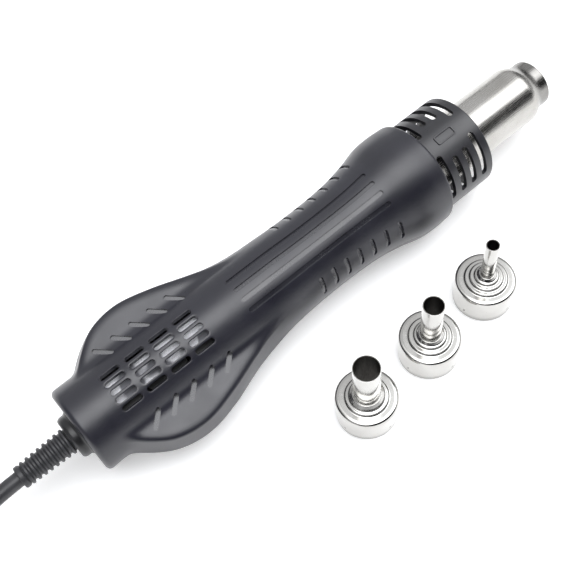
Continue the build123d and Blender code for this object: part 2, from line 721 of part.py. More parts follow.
def coupling_ring():
    """Knurled ring that screws the plug to its socket, turning on the plug's shell."""
    shape = ring(29.6, 43.6, PLUG_R, 8.9) + ring(29.6, 31.6, PLUG_R, 8.25)
    flutes = [Rot(15 * i, 0, 0) * rod(31, 42, 0.5, 0, PLUG_R) for i in range(24)]
    return on_plug(shape - group(flutes))


# ---- export
def on_handle(shape):
    """Moves a piece from the handpiece's own frame to the bench."""
    return Pos(0, 0, AXIS_H) * Rot(ROLL, 0, 0) * shape


def at_nozzle(name, shape):
    """Stands a nozzle's piece at its place on the bench."""
    return Pos(*NOZZLE_PLACES[name], 0) * shape


def nodes():
    """Every node of the part, in the bench frame."""
    handle = [upper_shell, lower_shell, shell_screws, front_guard, heater_tube, heater_bulkhead,
              tube_flange, flange_screws, heater_seat, ceramic_core, heater_winding, temperature_sensor,
              mica_sleeve, front_diffuser, tail_grommet, strain_relief, inner_cable, cable_clamp,
              clamp_screws, blower_housing, blower_cover, blower_screws, fan_bearing, fan_shaft,
              fan_stator, fan_magnet, impeller, inlet_screen, control_board, board_parts, reed_switch,
              terminal_block, internal_leads, heater_leads]
    bench = [cord_lead, cord_coil, cord_tail, plug_gland, plug_body, plug_insert, plug_pins, coupling_ring]
    made = {f.__name__: on_handle(f()) for f in handle}
    made.update({f.__name__: f() for f in bench})
    for name, (outlet_r, steps) in NOZZLES.items():
        made[name + "_nozzle_cap"] = at_nozzle(name, nozzle_cap(outlet_r, steps))
        made[name + "_nozzle_outlet"] = at_nozzle(name, nozzle_outlet(outlet_r, steps))
        made[name + "_nozzle_liner"] = at_nozzle(name, nozzle_liner())
    return made


def main():
    """Writes every node, with the middle of the layout at the origin."""
    os.makedirs("parts", exist_ok=True)
    for name, shape in nodes().items():
        placed = Pos(-LAYOUT_CENTRE[0], -LAYOUT_CENTRE[1], 0) * shape
        export_step(placed, "parts/" + name + ".step")


main()
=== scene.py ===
import bmesh
import bpy
import json
import numpy as np
from math import atan2, cos, pi, radians, sin
from mathutils import Matrix, Vector


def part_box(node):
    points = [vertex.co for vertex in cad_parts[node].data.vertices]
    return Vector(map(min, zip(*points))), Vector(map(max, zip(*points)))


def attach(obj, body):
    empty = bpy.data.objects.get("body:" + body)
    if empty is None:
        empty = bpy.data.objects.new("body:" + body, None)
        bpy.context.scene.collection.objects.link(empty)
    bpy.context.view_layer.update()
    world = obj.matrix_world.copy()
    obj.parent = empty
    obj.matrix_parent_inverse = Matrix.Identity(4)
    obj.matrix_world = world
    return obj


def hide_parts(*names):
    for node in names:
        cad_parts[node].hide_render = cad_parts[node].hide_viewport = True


# Looks for the hot air handpiece, its lead and its three nozzles.
# Pieces of the handpiece are drawn in millimetres in its own frame: axis along X, vented side up.

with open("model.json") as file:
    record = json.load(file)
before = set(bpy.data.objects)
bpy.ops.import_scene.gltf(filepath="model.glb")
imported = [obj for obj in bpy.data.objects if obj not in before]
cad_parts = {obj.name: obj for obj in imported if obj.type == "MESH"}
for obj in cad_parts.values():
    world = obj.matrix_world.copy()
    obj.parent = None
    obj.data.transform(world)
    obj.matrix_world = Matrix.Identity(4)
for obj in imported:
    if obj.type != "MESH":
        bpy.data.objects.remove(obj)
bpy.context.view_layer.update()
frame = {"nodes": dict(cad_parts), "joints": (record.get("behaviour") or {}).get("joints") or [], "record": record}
mounts = {m["name"]: m for m in frame["record"]["mounts"]}
joints = {j["name"]: j for j in frame["joints"]}

# ---- where the handpiece and the nozzles are, from the frame
MM = 0.001
SEAT_MIDDLE_X = 250.9
seat = Vector(mounts["nozzle_seat"]["pos_m"])
fan_axis = joints["fan_spin"]["axis"]
ROLL = atan2(-fan_axis[1], fan_axis[2])
TO_MM = Matrix.Diagonal((MM, MM, MM, 1))
HANDLE = Matrix.Translation(seat - Vector((SEAT_MIDDLE_X * MM, 0, 0))) @ Matrix.Rotation(ROLL, 4, "X") @ TO_MM
NOZZLE_PLACES = {}
for size in ("large", "medium", "small"):
    low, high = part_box(size + "_nozzle_cap")
    middle = (low + high) / 2
    NOZZLE_PLACES[size] = Matrix.Translation((middle.x, middle.y, low.z)) @ TO_MM
gland_low, gland_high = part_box("plug_gland")
gland_middle = (gland_low + gland_high) / 2
PLUG = Matrix.Translation((gland_low.x, gland_middle.y, gland_middle.z)) @ TO_MM

# ---- handle shells, millimetres in the handpiece's frame
WALL = 2.0
TAIL_X = 3.2
TAIL_ROUND = 2.4                    # rounding of the tail's outer edge
FRONT_X = 181.0
FRONT_EDGE_X = 179.6                # where the bell's outer edge starts to round
FRONT_ROUND = (1.4, 1.2)            # how long that rounding is, and how deep
JOINT_GAP = 0.03                    # each shell stops this far from the joint plane
LIP_R = 21.7
NECK_R = 7.0
BODY_POINTS = ((3.2, 18.8), (50, 18.95), (98, 19.1), (120, 18.5), (142, 19.3), (155.5, 21.5), (164.5, 23.8),
               (172, 24.35), (179.8, 24.0), (181, 24.0))
BELLY_POINTS = ((3.2, 18.8), (14, 18.8), (37, 24.0), (44, 24.35), (51, 24.1), (98, 19.1))
WING_TOP = 11.0
WING_XS = (9, 12, 20, 30, 43, 57, 73, 90, 104, 112)
WING_BASE = (13.0, 16.5, 24.1, 29.8, 31.9, 29.5, 24.4, 20.4, 17.6, 16.0)
WING_CREASE = (7.2, 11.4, 20.1, 27.0, 29.1, 26.3, 21.1, 15.5, 11.0, 8.0)
VENT_XS = (24.9, 36.3, 47.7, 59.1)
VENT_ANGLES = (-22.6, -11.3, 0.0, 11.3, 22.6)
VENT_SIZE = (9.0, 2.4)
VENT_CUT = (12, 30)                 # heights between which a vent is cut
VENT_SQUEEZE = 0.8                  # the lower vents are this much closer together
LIP_DEPTH = 0.14                    # how far the skin is drawn in round a vent
SEAM_DEPTH = 0.16                   # and along the parting line
GROOVE_X = (81.0, 154.6)
GROOVE_ANGLES = (-22.0, -7.2, 7.2, 22.0)
GROOVE_W = 2.0
MARK_DEPTH = 0.8
POCKET_XS = [112.7 + 6.78 * i for i in range(7)]
POCKET_SIZE = (9.6, 2.6)
POCKET_DEPTH = 0.6
POCKET_ANGLE = 60.0
SLASH_XS = [28.4 + 8.65 * i for i in range(5)]
SLASH_Y = 16.8
SLASH_SIZE = (8.6, 2.0)
SLASH_TURN = 43.0
SLASH_DEPTH = 0.55
SLASH_TILT = 0.06                   # how much a slash's floor rises per millimetre
SCREW_PLACES = ((9.4, 13.2), (84.0, 13.8), (146.4, 14.2))
SCREW_SEAT_Z = -7.0
SCREW_WELL_R = 2.5
FOAM_R = 14.7
FOAM_THICK = 0.9
SKIN_COLUMNS = 231
CROWDING = 0.9                      # how much closer the skin's columns are over the vents
CROWDED_HALF = 28                   # degrees each side of the top

# ---- guard, tube and tail, millimetres in the handpiece's frame
GUARD_R = 21.43
GUARD_BORE = 19.6
GUARD_FOOT_R = 22.0
GUARD_X = (173.0, 206.9)
GUARD_SLOTS = ((201.6, 14.0), (195.5, 23.5), (189.6, 24.5), (183.3, 14.0))    # x, upper end in degrees
GUARD_SLOT_END = 73.0
GUARD_SLOT_W = 2.9
PLAQUE_SIZE = (10.0, 4.4)
PLAQUE_X = 192.0
PLAQUE_BEND = 0.7
PLAQUE_BEAD = ((-0.35, -0.3), (-0.34, 0.2), (-0.18, 0.42), (0.18, 0.42), (0.34, 0.2), (0.35, -0.3))
TUBE_R = 13.65
TUBE_WALL = 0.8
TUBE_BACK_X = 160.0
SHOULDER_X = (243.6, 248.2)
SEAT_R = 11.0
NOSE_X = 254.0
BOSS_X = -1.0
BOSS_R = 9.2
RELIEF_END_X = -24.0
RIB_COUNT = 8
RIB_PITCH = 2.6

# ---- nozzles, millimetres above the bench: outlet radius, then each step's radius
NOZZLES = {"large": (5.5, (8.7, 7.1)), "medium": (4.35, (8.8, 6.6)), "small": (2.8, (8.9, 6.9, 5.0))}
SKIRT_R = 12.8
SKIRT_WALL = 0.8
SKIRT_H = 13.8
STEP_H = 1.1
NOZZLE_H = 40.0
OUTLET_WALL = 0.4
DIMPLE_ANGLES = (0.08, 1.65, 3.22, 4.79)
DIMPLE_Z = 3.4
DIMPLE_DEPTH = 0.5

# ---- plug, millimetres from the gland's end
GLAND_RIBS = (3.4, 5.6, 7.8, 10.0)
SHELL_RINGS = tuple(18.5 + 2.2 * i for i in range(4))
RING_R = 9.6
FLUTES = 24
FLUTE_DEPTH = 0.32
FLUTE_ENDS = ((31.0, 31.6), (41.4, 42.0))    # where the flutes fade in and out


# ---- small helpers
def smooth(x, points):
    """A smooth curve through (x, y) points, level at its ends."""
    xs, ys = np.array(points, float).T
    slope = np.zeros(len(xs))
    slope[1:-1] = (ys[2:] - ys[:-2]) / (xs[2:] - xs[:-2])
    x = np.clip(x, xs[0], xs[-1])
    i = np.clip(np.searchsorted(xs, x, side="right") - 1, 0, len(xs) - 2)
    span = xs[i + 1] - xs[i]
    t = (x - xs[i]) / span
    near = (1 + 2 * t) * (1 - t) ** 2 * ys[i] + t * (1 - t) ** 2 * span * slope[i]
    return near + t * t * (3 - 2 * t) * ys[i + 1] + t * t * (t - 1) * span * slope[i + 1]


def step(low, high, value):
    """0 below low, 1 above high, smooth between."""
    t = np.clip((value - low) / (high - low), 0, 1)
    return t * t * (3 - 2 * t)


def soft_max(a, b, k):
    """The larger of two, with the corner between them rounded over k."""
    h = np.maximum(k - np.abs(a - b), 0) / k
    return np.maximum(a, b) + h * h * k / 4


def soft_min(a, b, k):
    """The smaller of two, rounded in the same way."""
    return -soft_max(-a, -b, k)


def add_piece(name, points, faces, place, body, material, sharp=65):
    """A mesh from points in millimetres, put in the row frame and onto its body."""
    mesh = bpy.data.meshes.new(name)
    mesh.from_pydata([tuple(p) for p in np.asarray(points, float)], [], [tuple(f) for f in faces])
    mesh.transform(place)
    mesh.validate()
    mesh.shade_smooth()
    mesh.set_sharp_from_angle(angle=radians(sharp))
    piece = bpy.data.objects.new(name, mesh)
    bpy.context.scene.collection.objects.link(piece)
    mesh.materials.append(material)
    if body:
        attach(piece, body)
    return piece


def grid_faces(rows, columns, closed_rows=False, closed_columns=False):
    """Quads over a grid of points numbered row by row."""
    r = np.arange(rows if closed_rows else rows - 1)[:, None]
    c = np.arange(columns if closed_columns else columns - 1)[None, :]
    nr, nc = (r + 1) % rows, (c + 1) % columns
    quads = [r * columns + c, r * columns + nc, nr * columns + nc, nr * columns + c]
    return np.stack(np.broadcast_arrays(*quads), -1).reshape(-1, 4).tolist()


def rounded(corners, steps=5):
    """A closed outline from (along, out, rounding) corners, each rounded corner cut by an arc."""
    outline = []
    for i, (x, r, size) in enumerate(corners):
        here = np.array((x, r), float)
        before = np.array(corners[i - 1][:2], float) - here
        after = np.array(corners[(i + 1) % len(corners)][:2], float) - here
        reach = min(size, 0.45 * np.linalg.norm(before), 0.45 * np.linalg.norm(after))
        if reach < 1e-4:
            outline.append(here)
            continue
        a = here + before / np.linalg.norm(before) * reach
        b = here + after / np.linalg.norm(after) * reach
        hold_a = here + (a - here) * 1.09
        hold_b = here + (b - here) * 1.09
        t = np.linspace(0, 1, steps + 1)[:, None]
        arc = (1 - t) ** 2 * a + 2 * t * (1 - t) * here + t * t * b
        outline += [hold_a, *arc, hold_b]
    return np.array(outline)


def turned(name, corners, place, body, material, segments=128, upright=False, ripple=None, steps=5):
    """A ring or disc turned from a closed section. A ripple is taken off the radius round the axis."""
    outline = rounded(corners, steps)
    angle = np.linspace(0, 2 * pi, segments, endpoint=False)
    along, turn = np.meshgrid(outline[:, 0], angle, indexing="ij")
    out = np.broadcast_to(outline[:, 1:], turn.shape)
    if ripple:
        out = out - ripple(along, out, turn)
    out = np.maximum(out, 0.0)
    if upright:
        points = np.stack([out * np.cos(turn), out * np.sin(turn), along], -1)
    else:
        points = np.stack([along, out * np.cos(turn), out * np.sin(turn)], -1)
    faces = grid_faces(*out.shape, True, True)
    piece = add_piece(name, points.reshape(-1, 3), faces, place, body, material, 50)
    tidy(piece)
    return piece


def tidy(piece, reach=1e-6):
    """Joins points closer than reach, in metres, and makes the faces look outwards."""
    bm = bmesh.new()
    bm.from_mesh(piece.data)
    bmesh.ops.remove_doubles(bm, verts=bm.verts, dist=reach)
    bmesh.ops.dissolve_degenerate(bm, edges=bm.edges, dist=1e-7)
    bmesh.ops.recalc_face_normals(bm, faces=bm.faces)
    bm.to_mesh(piece.data)
    bm.free()


def cut(piece, cutters):
    """Takes the cutters' space out of a piece. Each cut face keeps its cutter's material."""
    tool = cutters[0]
    with bpy.context.temp_override(active_object=tool, selected_editable_objects=cutters):
        bpy.ops.object.join()
    tidy(tool)
    boolean = piece.modifiers.new("cut", "BOOLEAN")
    boolean.object = tool
    boolean.operation = "DIFFERENCE"
    boolean.solver = "EXACT"
    boolean.material_mode = "TRANSFER"
    made = bpy.data.meshes.new_from_object(piece.evaluated_get(bpy.context.evaluated_depsgraph_get()))
    piece.modifiers.clear()
    piece.data = made
    bpy.data.objects.remove(tool)
    tidy(piece, 1.2e-5)
    made.shade_smooth()
    made.set_sharp_from_angle(angle=radians(65))


def prism(outline, low, high, place):
    """A cutter: a closed (x, y) outline between two heights."""
    n = len(outline)
    points = [(x, y, z) for z in (low, high) for x, y in outline]
    faces = [list(range(n))[::-1], list(range(n, 2 * n))]
    faces += [[i, (i + 1) % n, n + (i + 1) % n, n + i] for i in range(n)]
    return add_piece("cutter", points, faces, place, None, shell_plastic)


def loft(sections, place, material):
    """A cutter through a row of closed sections with as many points each."""
    sections = np.asarray(sections, float)
    rows, columns = sections.shape[:2]
    faces = grid_faces(rows, columns, closed_columns=True)
    faces += [list(range(columns))[::-1], list(range((rows - 1) * columns, rows * columns))]
    return add_piece("cutter", sections.reshape(-1, 3), faces, place, None, material)


def slot_stations(length, width, ends=8, middle=2):
    """Places along a round-ended slot and its half width at each."""
    reach = length / 2 - width / 2
    bend = np.linspace(0.04, pi / 2, ends)
    tip = reach + width / 2 * np.cos(bend)
    half = width / 2 * np.sin(bend)
    straight = np.linspace(-reach, reach, middle + 2)[1:-1]
    places = np.concatenate([-tip, straight, tip[::-1]])
    return places, np.concatenate([half, np.full(len(straight), width / 2), half[::-1]])


def round_axis(x, radius, angle):
    """The point at a radius and an angle from the top, in the handpiece's frame."""
    return x, radius * sin(angle), radius * cos(angle)


def stadium(length, width, middle, steps=10):
    """The outline of a round-ended slot along X, from where its middle is."""
    r = width / 2
    reach = length / 2 - r
    outline = []
    for end, start in ((1, -pi / 2), (-1, pi / 2)):
        for i in range(steps + 1):
            a = start + pi * i / steps
            x = end * reach + r * cos(a)
            outline.append((middle + x, r * sin(a)))
    return outline


def round_outline(radius, steps=40):
    """Points round a circle."""
    return [(radius * cos(2 * pi * i / steps), radius * sin(2 * pi * i / steps)) for i in range(steps)]


# ---- camera
camera_data = bpy.data.cameras.new("camera")
camera = bpy.data.objects.new("camera", camera_data)
bpy.context.scene.collection.objects.link(camera)
bpy.context.scene.camera = camera
CAMERA_PLACE = Vector((-0.12493, -0.14369, 0.35593))
CAMERA_FORWARD = Vector((0.2665, 0.4190, -0.8680)).normalized()
CAMERA_UP = Vector((0.5925, 0.6391, 0.4904))
camera_right = CAMERA_FORWARD.cross(CAMERA_UP).normalized()
camera_up = camera_right.cross(CAMERA_FORWARD)
camera_turn = Matrix((camera_right, camera_up, -CAMERA_FORWARD)).transposed()
camera.matrix_world = Matrix.Translation(CAMERA_PLACE) @ camera_turn.to_4x4()
camera_data.lens = 58.82
camera_data.clip_start = 0.01
camera_data.clip_end = 20.0


# ---- materials
class Paint:
    """One material's node tree, with object coordinates in metres as the place of everything."""

    def __init__(self, name, **fixed):
        self.material = bpy.data.materials.new(name)
        self.material.use_nodes = True
        self.tree = self.material.node_tree
        self.shader = self.tree.nodes["Principled BSDF"]
        self.place = self.tree.nodes.new("ShaderNodeTexCoord").outputs["Object"]
        for socket, value in fixed.items():
            self.shader.inputs[socket.replace("_", " ")].default_value = value

    def node(self, kind, **values):
        made = self.tree.nodes.new(kind)
        for key, value in values.items():
            if hasattr(made, key):
                setattr(made, key, value)
            else:
                made.inputs[key.replace("_", " ")].default_value = value
        return made

    def link(self, source, target):
        self.tree.links.new(source, target)

    def stretched(self, stretch):
        """Places scaled along each axis, for grain that runs one way."""
        if stretch is None:
            return self.place
        mapping = self.node("ShaderNodeMapping")
        mapping.inputs["Scale"].default_value = stretch
        self.link(self.place, mapping.inputs["Vector"])
        return mapping.outputs["Vector"]

    def noise(self, scale, detail=4.0, stretch=None, distortion=0.0):
        made = self.node("ShaderNodeTexNoise", Scale=scale, Detail=detail, Distortion=distortion)
        self.link(self.stretched(stretch), made.inputs["Vector"])
        return made.outputs["Fac"]

    def cells(self, scale):
        made = self.node("ShaderNodeTexVoronoi", Scale=scale)
        self.link(self.place, made.inputs["Vector"])
        return made.outputs["Distance"]

    def ranged(self, source, low, high, out_low, out_high):
        made = self.node("ShaderNodeMapRange", From_Min=low, From_Max=high, To_Min=out_low, To_Max=out_high)
        self.link(source, made.inputs["Value"])
        return made.outputs["Result"]

    def mixed(self, share, a, b):
        """Colour a where share is 0 and b where it is 1. Each is a colour or another node's output."""
        made = self.node("ShaderNodeMix", data_type="RGBA")
        self.link(share, made.inputs["Factor"])
        for value, socket in ((a, made.inputs[6]), (b, made.inputs[7])):
            if isinstance(value, tuple):
                socket.default_value = (*value, 1.0)
            else:
                self.link(value, socket)
        return made.outputs[2]

    def maths(self, operation, a, b):
        """Each of a and b is a number or another node's output."""
        made = self.node("ShaderNodeMath", operation=operation)
        for value, socket in ((a, made.inputs[0]), (b, made.inputs[1])):
            if isinstance(value, (int, float)):
                socket.default_value = value
            else:
                self.link(value, socket)
        return made.outputs[0]

    def edges(self, low=0.52, high=0.6):
        """1 on raised edges and 0 on flat faces."""
        point = self.tree.nodes.new("ShaderNodeNewGeometry").outputs["Pointiness"]
        return self.ranged(point, low, high, 0.0, 1.0)

    def colour(self, source):
        self.link(source, self.shader.inputs["Base Color"])

    def rough(self, source):
        self.link(source, self.shader.inputs["Roughness"])

    def bump(self, *layers):
        """Stacks (height, strength, distance in metres) layers of relief."""
        last = None
        for height, strength, distance in layers:
            made = self.node("ShaderNodeBump", Strength=strength, Distance=distance)
            self.link(height, made.inputs["Height"])
            if last:
                self.link(last, made.inputs["Normal"])
            last = made.outputs["Normal"]
        self.link(last, self.shader.inputs["Normal"])


def moulded(name, dark, light, worn, roughness, grain=2600, grain_depth=0.00002, wear=0.5, **fixed):
    """Moulded plastic: a spark-eroded grain, cloudy colour and scuffed raised edges."""
    p = Paint(name, **fixed)
    clouds = p.noise(38, 5.0)
    base = p.mixed(p.ranged(clouds, 0.35, 0.65, 0.0, 1.0), dark, light)
    scuffs = p.ranged(p.noise(240, 6.0, distortion=0.6), 0.45, 0.75, 0.2, 1.0)
    edge = p.maths("MULTIPLY", p.maths("MULTIPLY", p.edges(), scuffs), wear)
    p.colour(p.mixed(edge, base, worn))
    fine = p.noise(grain, 3.0)
    spread = p.ranged(p.noise(70, 4.0), 0.3, 0.7, roughness - 0.05, roughness + 0.06)
    p.rough(p.maths("ADD", spread, p.ranged(fine, 0.3, 0.7, -0.03, 0.04)))
    pits = p.cells(grain * 0.55)
    p.bump((fine, 0.35, grain_depth), (pits, 0.18, grain_depth), (p.noise(55, 2.0), 0.06, 0.0002))
    return p.material


def metal(name, colour, second, roughness, brushed, brush_depth=0.00001, hollow_shade=None, lathe=None, nose_shade=None):
    """Bare metal, brushed along one axis: fine scratches, faint stains and brighter edges.

    hollow_shade is how dark its closed-in places are painted, as painted shade; lathe is how anisotropic its
    turned surface is; and nose_shade is where along X the painted shade that keeps the nose's highlight grey
    starts and is full.
    """
    p = Paint(name, Metallic=1.0)
    stains = p.ranged(p.noise(60, 5.0, distortion=0.4), 0.38, 0.68, 0.0, 1.0)
    bright = tuple(min(1.0, c * 1.12) for c in colour)
    toned = p.mixed(p.maths("MULTIPLY", p.edges(0.53, 0.62), 0.6), p.mixed(stains, colour, second), bright)
    if hollow_shade:
        # Painted shade: the colour darkens where the metal is closed in (collars, creases, bores), by ambient
        # occlusion.
        open_share = p.node("ShaderNodeAmbientOcclusion", samples=8, Distance=0.005).outputs["AO"]
        toned = p.mixed(p.ranged(open_share, 0.30, 0.86, 1.0, 0.0), toned, tuple(hollow_shade * c for c in colour))
    # Painted shade: the colour is darkened in patches towards the nose, so that its highlight there stays grey.
    if nose_shade:
        along = p.node("ShaderNodeSeparateXYZ")
        p.link(p.place, along.inputs["Vector"])
        patches = p.ranged(p.noise(120, 4.0), 0.2, 0.8, 0.75, 1.0)
        nose_shade_share = p.maths("MULTIPLY", p.ranged(along.outputs["X"], *nose_shade, 0.0, 1.0), patches)
        toned = p.mixed(nose_shade_share, toned, tuple(0.42 * c for c in colour))
    p.colour(toned)
    if lathe:
        p.shader.inputs["Anisotropic"].default_value = lathe
        round_it = p.node("ShaderNodeTangent", direction_type="RADIAL", axis="Z")
        p.link(round_it.outputs["Tangent"], p.shader.inputs["Tangent"])
    brush = p.noise(900, 4.0, stretch=brushed)
    scratch = p.noise(420, 8.0, stretch=(1.0, 6.0, 6.0), distortion=1.2)
    worn = p.ranged(scratch, 0.58, 0.72, 0.0, 0.072)
    p.rough(p.maths("ADD", p.ranged(brush, 0.3, 0.7, roughness * 0.75, roughness * 1.3), worn))
    p.bump((brush, 0.25, brush_depth), (scratch, 0.12, brush_depth), (p.noise(45, 2.0), 0.05, 0.0002))
    return p.material


def plain(name, colour, second, roughness, scale, bands=False, depth=0.00003, strength=0.4, **fixed):
    """Inner pieces: two mixed tones over a pattern of the right size, with relief from it."""
    p = Paint(name, **fixed)
    if bands:
        wave = p.node("ShaderNodeTexWave", Scale=scale, Distortion=1.5, Detail=3.0, bands_direction="DIAGONAL")
        p.link(p.place, wave.inputs["Vector"])
        detail = wave.outputs["Fac"]
    else:
        detail = p.noise(scale, 6.0)
    clouds = p.ranged(p.noise(90, 4.0), 0.35, 0.65, 0.0, 1.0)
    toned = p.mixed(p.ranged(detail, 0.3, 0.7, 0.0, 1.0), colour, second)
    p.colour(p.mixed(p.maths("MULTIPLY", clouds, 0.3), toned, tuple(0.8 * c for c in colour)))
    p.rough(p.ranged(detail, 0.2, 0.8, roughness - 0.06, roughness + 0.08))
    p.bump((detail, strength, depth), (p.noise(scale * 3, 3.0), 0.15, depth))
    return p.material


def foam(name, light, dark):
    """Open foam: light and dark patches over fine pores, the pores darkened with painted shade."""
    p = Paint(name, Roughness=0.95)
    pores = p.ranged(p.cells(2600), 0.1, 0.6, 0.0, 1.0)
    patches = p.ranged(p.noise(110, 1.0), 0.47, 0.53, 0.0, 1.0)
    shaded = p.mixed(p.maths("MULTIPLY", pores, 0.35), light, dark)
    p.colour(p.mixed(patches, shaded, dark))
    p.bump((pores, 0.3, 0.0001), (p.noise(300, 3.0), 0.3, 0.0004))
    return p.material


shell_plastic = moulded("shell_plastic", (0.011, 0.011, 0.018), (0.016, 0.016, 0.025), (0.05, 0.05, 0.06), 0.34,
                        wear=0.25, Specular_IOR_Level=0.75)
guard_plastic = moulded("guard_plastic", (0.015, 0.015, 0.019), (0.022, 0.022, 0.027), (0.05, 0.05, 0.055), 0.34,
                        3200, Specular_IOR_Level=0.7)
# Floors of the grooves, pockets and slashes: the same plastic, glossier, and lighter in colour as a painted
# highlight.
polished_highlit_plastic = moulded("polished_highlit_plastic", (0.020, 0.020, 0.027), (0.028, 0.028, 0.036), (0.05, 0.05, 0.06),
                           0.24, 2600, 0.000006, Specular_IOR_Level=0.8)
boss_plastic = moulded("boss_plastic", (0.014, 0.014, 0.015), (0.020, 0.020, 0.022), (0.045, 0.045, 0.05), 0.32,
                       3000)
cord_rubber = moulded("cord_rubber", (0.030, 0.030, 0.033), (0.042, 0.042, 0.046), (0.08, 0.08, 0.085), 0.40,
                      3800)
inner_plastic = moulded("inner_plastic", (0.02, 0.02, 0.02), (0.03, 0.03, 0.03), (0.06, 0.06, 0.06), 0.5)
# The tube's steel is darkened towards the nose with painted shade.
tube_steel = metal("tube_steel", (0.54, 0.528, 0.505), (0.47, 0.457, 0.43), 0.24, (0.12, 4.0, 4.0), 0.000006,
                   nose_shade=(0.1165, 0.1215))
# The nozzles' steel darkens its closed-in places with painted shade.
nozzle_steel = metal("nozzle_steel", (0.61, 0.602, 0.58), (0.54, 0.53, 0.51), 0.12, (5.0, 5.0, 0.4), 0.000004,
                     hollow_shade=0.22, lathe=0.4)
# Painted shade: a dark steel for the inside of the nozzle pipes, where shade falls.
bore_shade_steel = metal("bore_shade_steel", (0.085, 0.078, 0.068), (0.05, 0.045, 0.04), 0.42, (5.0, 5.0, 0.4))
plain_steel = metal("plain_steel", (0.62, 0.61, 0.60), (0.52, 0.50, 0.48), 0.32, (3.0, 3.0, 3.0))
screw_steel = metal("screw_steel", (0.34, 0.34, 0.35), (0.22, 0.22, 0.23), 0.36, (3.0, 3.0, 3.0))
plug_metal = metal("plug_metal", (0.70, 0.69, 0.66), (0.62, 0.60, 0.57), 0.26, (0.3, 4.0, 4.0))
pin_brass = metal("pin_brass", (0.80, 0.62, 0.28), (0.70, 0.52, 0.22), 0.24, (0.3, 4.0, 4.0))
bearing_bronze = metal("bearing_bronze", (0.66, 0.44, 0.22), (0.55, 0.35, 0.17), 0.35, (3.0, 3.0, 0.4))
heating_wire = metal("heating_wire", (0.36, 0.30, 0.26), (0.22, 0.20, 0.24), 0.45, (4.0, 1.0, 1.0))
copper_winding = plain("copper_winding", (0.62, 0.25, 0.10), (0.38, 0.13, 0.05), 0.32, 900, True, 0.0001, 0.7,
                       Metallic=0.9)
magnet_grey = plain("magnet_grey", (0.10, 0.10, 0.11), (0.06, 0.06, 0.065), 0.6, 900)
phenolic = plain("phenolic", (0.26, 0.15, 0.07), (0.19, 0.10, 0.045), 0.5, 220, True)
heater_ceramic = plain("heater_ceramic", (0.78, 0.75, 0.68), (0.68, 0.64, 0.56), 0.65, 1400)
mica = plain("mica", (0.62, 0.55, 0.42), (0.50, 0.43, 0.30), 0.3, 160, True, Coat_Weight=0.3)
screen_foam = foam("screen_foam", (0.96, 0.96, 1.0), (0.20, 0.20, 0.22))
board_green = plain("board_green", (0.02, 0.16, 0.07), (0.04, 0.24, 0.10), 0.35, 420, True, Coat_Weight=0.3)
terminal_plastic = plain("terminal_plastic", (0.05, 0.16, 0.10), (0.07, 0.20, 0.13), 0.45, 900)
reed_glass = plain("reed_glass", (0.30, 0.34, 0.30), (0.22, 0.26, 0.22), 0.15, 500, Coat_Weight=0.5)
wire_silicone = plain("wire_silicone", (0.42, 0.03, 0.02), (0.30, 0.02, 0.015), 0.5, 1200)

SLOT_MATERIALS = {
    "shell_plastic": shell_plastic, "guard_plastic": guard_plastic, "inner_plastic": inner_plastic,
    "tube_steel": tube_steel, "plain_steel": plain_steel, "screw_steel": screw_steel,
    "nozzle_steel": nozzle_steel, "cord_rubber": cord_rubber, "phenolic": phenolic,
    "heater_ceramic": heater_ceramic, "heating_wire": heating_wire, "mica": mica,
    "bearing_bronze": bearing_bronze, "copper_winding": copper_winding, "magnet": magnet_grey,
    "screen_foam": screen_foam, "board_green": board_green, "reed_glass": reed_glass,
    "terminal_plastic": terminal_plastic, "wire_silicone": wire_silicone, "plug_metal": plug_metal,
    "pin_brass": pin_brass,
}


def carried_over():
    """Every CAD node gets its slot's material and smooth shading; its shape stays."""
    for subpart in frame["record"]["subparts"]:
        node = frame["nodes"][subpart["node"]]
        node.data.materials.clear()
        node.data.materials.append(SLOT_MATERIALS[subpart["material_slot"]])
        node.data.shade_smooth()
        node.data.set_sharp_from_angle(angle=radians(35))


# ---- cord
LEAD_ROUTE = ((-0.1505, 0.0207, 0.02435), (-0.1745, 0.0207, 0.02435), (-0.2095, 0.0157, 0.0032),
              (-0.2325, 0.0107, 0.0032))
CORD_D = 0.0064
COIL_CENTRE = (-0.2365, 0.0521)
COIL_OUT = 0.0414
COIL_IN = 0.0286
COIL_TURNS = 4.5
POINTS_PER_TURN = 24
TAIL_ROUTE = ((-0.2255, 0.0935, 0.0096), (-0.2015, 0.0935, 0.0096))


def coil_route():
    """Two and a bit turns inwards on the bench, then outwards again on top of them."""
    route = []
    for i in range(1, int(COIL_TURNS * POINTS_PER_TURN) + 1):
        t = i / POINTS_PER_TURN
        radius = COIL_OUT - CORD_D * t if t < 2 else COIL_IN + CORD_D * max(0.0, t - 2.5)
        climb = min(1.0, max(0.0, (t - 2.0) / 0.5))
        radius -= 0.0008 * sin(pi * climb)
        height = CORD_D / 2 + CORD_D * climb * climb * (3 - 2 * climb)
        angle = radians(-90 - 360 * t)
        route.append((COIL_CENTRE[0] + radius * cos(angle), COIL_CENTRE[1] + radius * sin(angle), height))
    return route


def make_cord():
    curve = bpy.data.curves.new("lead", "CURVE")
    curve.dimensions = "3D"
    route = [*LEAD_ROUTE, *coil_route(), *TAIL_ROUTE]
    spline = curve.splines.new("NURBS")
    spline.points.add(len(route) - 1)
    for point, place in zip(spline.points, route):
        point.co = (*place, 1.0)
    spline.order_u = 3
    spline.use_endpoint_u = True
    spline.resolution_u = 10
    curve.bevel_depth = CORD_D / 2
    curve.bevel_resolution = 8
    curve.use_fill_caps = True
    curve.materials.append(cord_rubber)
    lead = bpy.data.objects.new("lead", curve)
    bpy.context.scene.collection.objects.link(lead)
    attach(lead, "handpiece")
    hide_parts("cord_lead", "cord_coil", "cord_tail")
    return lead


